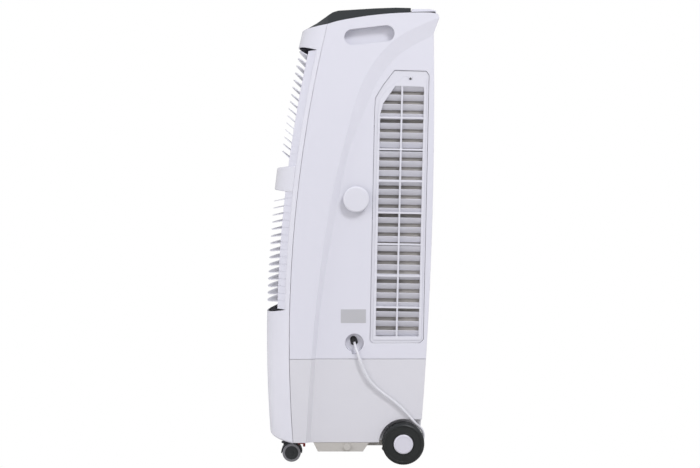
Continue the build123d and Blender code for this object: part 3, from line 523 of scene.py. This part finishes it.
for side, side_name in ((1, "right"), (-1, "left")):
    body = f"{side_name}_rear_wheel"
    low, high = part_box(body)
    centre = (low + high) / 2
    face_x = max(abs(low.x), abs(high.x))
    back_x = min(abs(low.x), abs(high.x))
    wheel_radius = (high.z - low.z) / 2
    rubber_x = face_x - 0.003
    tyre_profile = [
        (back_x + 0.0015, 0.0265), (back_x, 0.030), (back_x, 0.050), (back_x + 0.0015, 0.0535),
        (back_x + 0.005, wheel_radius - 0.001), (back_x + 0.007, wheel_radius - 0.0003),
        (back_x + 0.014, wheel_radius - 0.0003), (back_x + 0.015, wheel_radius - 0.0016),
        (back_x + 0.016, wheel_radius - 0.0016), (back_x + 0.017, wheel_radius),
        (rubber_x - 0.017, wheel_radius), (rubber_x - 0.016, wheel_radius - 0.0016),
        (rubber_x - 0.015, wheel_radius - 0.0016), (rubber_x - 0.014, wheel_radius - 0.0003),
        (rubber_x - 0.008, wheel_radius - 0.0003), (rubber_x - 0.005, wheel_radius - 0.001),
        (rubber_x - 0.0018, 0.0535), (rubber_x, 0.0505), (rubber_x - 0.0003, 0.0475),
        (rubber_x - 0.0016, 0.0465), (rubber_x - 0.0018, 0.0300), (rubber_x - 0.0004, 0.0290),
        (rubber_x - 0.0004, 0.0270), (rubber_x - 0.003, 0.0265),
    ]
    tyre_mesh = lathe(f"{side_name}_tyre", tyre_profile, centre, side)
    tyre = piece(f"{side_name}_tyre", tyre_mesh, tyre_black, body)
    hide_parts(body)
    cap_profile = [
        (back_x + 0.002, 0.0061), (back_x + 0.002, 0.0262), (rubber_x - 0.001, 0.0262),
        (face_x - 0.0022, 0.0258), (face_x - 0.0012, 0.0245), (face_x - 0.0004, 0.0215),
        (face_x - 0.0012, 0.0208), (face_x - 0.0012, 0.0012), (face_x - 0.0012, 0.0),
        (face_x - 0.0032, 0.0), (face_x - 0.0032, 0.0061),
    ]
    cap_mesh = lathe(f"{side_name}_hub_cap", cap_profile, centre, side)
    piece(f"{side_name}_hub_cap", cap_mesh, cap_white, body)
    ribs = grown(f"{side_name}_tread", rib_tree, [
        (rib_inputs["Count"], 72), (rib_inputs["Radius"], wheel_radius - 0.0012),
        (rib_inputs["Width"], 0.026),
        (rib_inputs["Centre"], ((low.x + high.x) / 2 - side * 0.0015, centre.y, centre.z)),
        (rib_inputs["Material"], tyre_black)])
    ribs.materials.clear()
    piece(f"{side_name}_tread", ribs, tyre_black, body)

# Casters: black nylon forks and hoods, grey tyred twin wheels with a dark pressed disc, red levers.
caster_black = moulded(
    "caster_black", (0.018, 0.021, 0.022), (0.03, 0.033, 0.034),
    drift=0.6, roughness=0.42, grain_scale=1000.0, grain_depth=0.12, edge_radius=0.0008)
caster_grey = moulded(
    "caster_grey", (0.24, 0.24, 0.25), (0.17, 0.17, 0.18),
    drift=0.6, roughness=0.5, grain_scale=900.0, grain_depth=0.12, edge_radius=0.0008)
lever_red = moulded(
    "lever_red", (0.36, 0.022, 0.016), (0.25, 0.016, 0.012),
    drift=0.5, roughness=0.4, grain_scale=1000.0, grain_depth=0.08, edge_radius=0.0006)
for side, side_name in ((1, "right"), (-1, "left")):
    dress(caster_black, f"{side_name}_caster_fork")
    dress(caster_grey, f"{side_name}_caster_wheels")
    dress(lever_red, f"{side_name}_brake_lever")
    low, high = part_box(f"{side_name}_caster_wheels")
    centre = (low + high) / 2
    for face, reach in (
            ("outer", high.x if side > 0 else -low.x), ("inner", -low.x if side > 0 else high.x)):
        flip = side if face == "outer" else -side
        disc_profile = [
            (reach - 0.001, 0.0), (reach - 0.001, 0.0183), (reach + 0.0003, 0.0183),
            (reach + 0.0007, 0.0172), (reach + 0.0002, 0.0140), (reach + 0.0002, 0.0060),
            (reach + 0.0009, 0.0052), (reach + 0.0011, 0.0),
        ]
        disc_mesh = lathe("disc", disc_profile, centre, flip, 48)
        piece(f"{side_name}_caster_disc_{face}", disc_mesh, caster_black, f"{side_name}_caster_wheels")

# Works inside: black fan mouldings, a painted motor, a steel axle, the rubber bush and the plug.
fan_black = moulded(
    "fan_black", (0.05, 0.05, 0.055), (0.07, 0.07, 0.075),
    drift=0.6, roughness=0.5, grain_scale=900.0, grain_depth=0.1, edge_radius=0.0006)
motor_grey = moulded(
    "motor_grey", (0.2, 0.2, 0.21), (0.14, 0.14, 0.15),
    drift=0.6, roughness=0.4, grain_scale=1200.0, grain_depth=0.08, edge_radius=0.0008, metal=0.4)
axle_steel = moulded(
    "axle_steel", (0.5, 0.5, 0.5), (0.36, 0.36, 0.37),
    drift=0.8, roughness=0.32, grain_scale=1600.0, grain_depth=0.1, edge_radius=0.0006, metal=1.0)
bush_black = moulded(
    "bush_black", (0.012, 0.012, 0.012), (0.02, 0.02, 0.02),
    drift=0.5, roughness=0.6, grain_scale=900.0, grain_depth=0.1, edge_radius=0.0006)
cord_white = moulded(
    "cord_white", (0.76, 0.76, 0.78), (0.66, 0.66, 0.68),
    drift=0.6, roughness=0.38, grain_scale=1200.0, grain_depth=0.06, edge_radius=0.0002)
dress(fan_black, "blower_housing", "blower_impeller", "water_pump")
dress(motor_grey, "fan_motor")
dress(axle_steel, "wheel_axle")
dress(bush_black, "cord_bush")
dress(cord_white, "mains_plug")
cord_curve.materials.append(cord_white)

# Lid gap shadow: a thin black strip along the foot of each side of the fill lid, a painted shadow of
# the shaded gap under the lid, seen as a dark line that widens to the rear. It rides on the lid.
lid_low, lid_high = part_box("fill_lid")
shadow_strip_foot = lid_low.z + 0.0001
shadow_strip_thickness = 0.0005
shadow_strip_corner = 0.0006
for side, side_name in ((1, "right"), (-1, "left")):
    corners = [
        (side * lid_high.x, lid_low.y + 0.001, shadow_strip_foot),
        (side * lid_high.x, lid_high.y - 0.002, shadow_strip_foot + 0.001),
        (side * lid_high.x, lid_high.y - 0.003, shadow_strip_foot + 0.0042),
        (side * lid_high.x, lid_low.y + 0.001, shadow_strip_foot + 0.0028),
    ]
    if side < 0:
        corners.reverse()
    # Painted shadow: a black sheet laid where the gap under the lid falls into shade.
    shadow_strip_mesh = slab_mesh("lid_painted_shadow", corners, shadow_strip_thickness, shadow_strip_corner)
    piece(f"{side_name}_lid_painted_shadow", shadow_strip_mesh, bush_black, "fill_lid")

# Grille screws: one dark steel pan head holds the top of each grille, sunk in a half-round notch.
screw_steel = moulded(
    "screw_steel", (0.16, 0.16, 0.16), (0.10, 0.10, 0.10),
    drift=0.6, roughness=0.35, grain_scale=1400.0, grain_depth=0.08, edge_radius=0.0004, metal=0.8)
screw_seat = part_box("intake_grilles")[1].x - 0.0016
screw_centre = Vector((0, 0.1608, 1.0406))
for side, side_name in ((1, "right"), (-1, "left")):
    head_profile = [
        (screw_seat + 0.0001, 0.0), (screw_seat + 0.0001, 0.0034), (screw_seat + 0.0006, 0.0034),
        (screw_seat + 0.0012, 0.0026), (screw_seat + 0.0014, 0.0012), (screw_seat + 0.0009, 0.0009),
        (screw_seat + 0.0009, 0.0),
    ]
    head_mesh = lathe("grille_screw", head_profile, screw_centre, side, 32)
    piece(f"{side_name}_grille_screw", head_mesh, screw_steel, "casing")

# Stage: a seamless white sweep. What the camera sees of it is even white; what it throws back on
# the cooler is dimmer and a little warm, as a lit studio floor would.
def seen_or_felt(tree, seen, felt, output):
    """Shows one shader to the camera and uses the other for the light that reaches the object."""
    path = tree.nodes.new("ShaderNodeLightPath")
    mix = tree.nodes.new("ShaderNodeMixShader")
    tree.links.new(path.outputs["Is Camera Ray"], mix.inputs[0])
    tree.links.new(felt.outputs[0], mix.inputs[1])
    tree.links.new(seen.outputs[0], mix.inputs[2])
    tree.links.new(mix.outputs[0], output.inputs["Surface"])


floor_mesh = bpy.data.meshes.new("floor")
floor_bm = bmesh.new()
bmesh.ops.create_grid(floor_bm, x_segments=1, y_segments=1, size=30.0)
floor_bm.to_mesh(floor_mesh)
floor_bm.free()
floor = bpy.data.objects.new("floor", floor_mesh)
bpy.context.scene.collection.objects.link(floor)
floor_material = bpy.data.materials.new("floor_white")
floor_material.use_nodes = True
floor_tree = floor_material.node_tree
floor_seen = floor_tree.nodes.new("ShaderNodeEmission")
floor_seen.inputs["Strength"].default_value = 1.0
floor_felt = floor_tree.nodes.new("ShaderNodeBsdfDiffuse")
floor_felt.inputs["Color"].default_value = (0.60, 0.59, 0.57, 1.0)
seen_or_felt(floor_tree, floor_seen, floor_felt, floor_tree.nodes["Material Output"])
floor_mesh.materials.append(floor_material)

# Light: a cool glow from overhead that fades towards the ground, a soft key high on the rear of the
# cord side, a weaker fill from its front, a broad lamp square on to the front and one behind. Only
# the key is seen in the gloss.
world = bpy.data.worlds.new("studio")
bpy.context.scene.world = world
world.use_nodes = True
world_tree = world.node_tree
sky_seen = world_tree.nodes["Background"]
sky_seen.inputs["Color"].default_value = (1.0, 1.0, 1.0, 1.0)
sky_seen.inputs["Strength"].default_value = 1.0
sky_felt = world_tree.nodes.new("ShaderNodeBackground")
sky_way = world_tree.nodes.new("ShaderNodeTexCoord")
sky_split = world_tree.nodes.new("ShaderNodeSeparateXYZ")
sky_ramp = world_tree.nodes.new("ShaderNodeValToRGB")
sky_ramp.color_ramp.elements[0].position = 0.0
sky_ramp.color_ramp.elements[0].color = (0.62, 0.61, 0.60, 1.0)
sky_ramp.color_ramp.elements[1].position = 0.9
sky_ramp.color_ramp.elements[1].color = (1.12, 1.13, 1.32, 1.0)
world_tree.links.new(sky_way.outputs["Generated"], sky_split.inputs[0])
world_tree.links.new(sky_split.outputs["Z"], sky_ramp.inputs["Fac"])
world_tree.links.new(sky_ramp.outputs["Color"], sky_felt.inputs["Color"])
sky_felt.inputs["Strength"].default_value = 0.72
seen_or_felt(world_tree, sky_seen, sky_felt, world_tree.nodes["World Output"])
for name, place, target, size, power, colour in (
        ("key", (2.9, 1.5, 3.3), (0.1, 0.0, 0.7), 1.0, 70.0, (0.97, 0.97, 1.0)),
        ("fill", (3.4, -2.6, 1.5), (0.1, 0.0, 0.6), 1.6, 22.0, (1.0, 0.98, 0.96)),
        ("front", (0.3, -4.4, 1.5), (0.0, 0.0, 0.7), 2.4, 70.0, (1.0, 1.0, 1.0)),
        ("back", (-2.6, 2.6, 2.2), (0.0, 0.0, 0.6), 2.0, 40.0, (1.0, 1.0, 1.0))):
    lamp = bpy.data.lights.new(name, "AREA")
    lamp.size = size
    lamp.energy = power
    lamp.color = colour
    light = bpy.data.objects.new(name, lamp)
    light.location = place
    light.rotation_euler = (Vector(target) - Vector(place)).to_track_quat("-Z", "Y").to_euler()
    light.visible_glossy = name == "key"
    bpy.context.scene.collection.objects.link(light)
bpy.context.scene.view_settings.view_transform = "Standard"
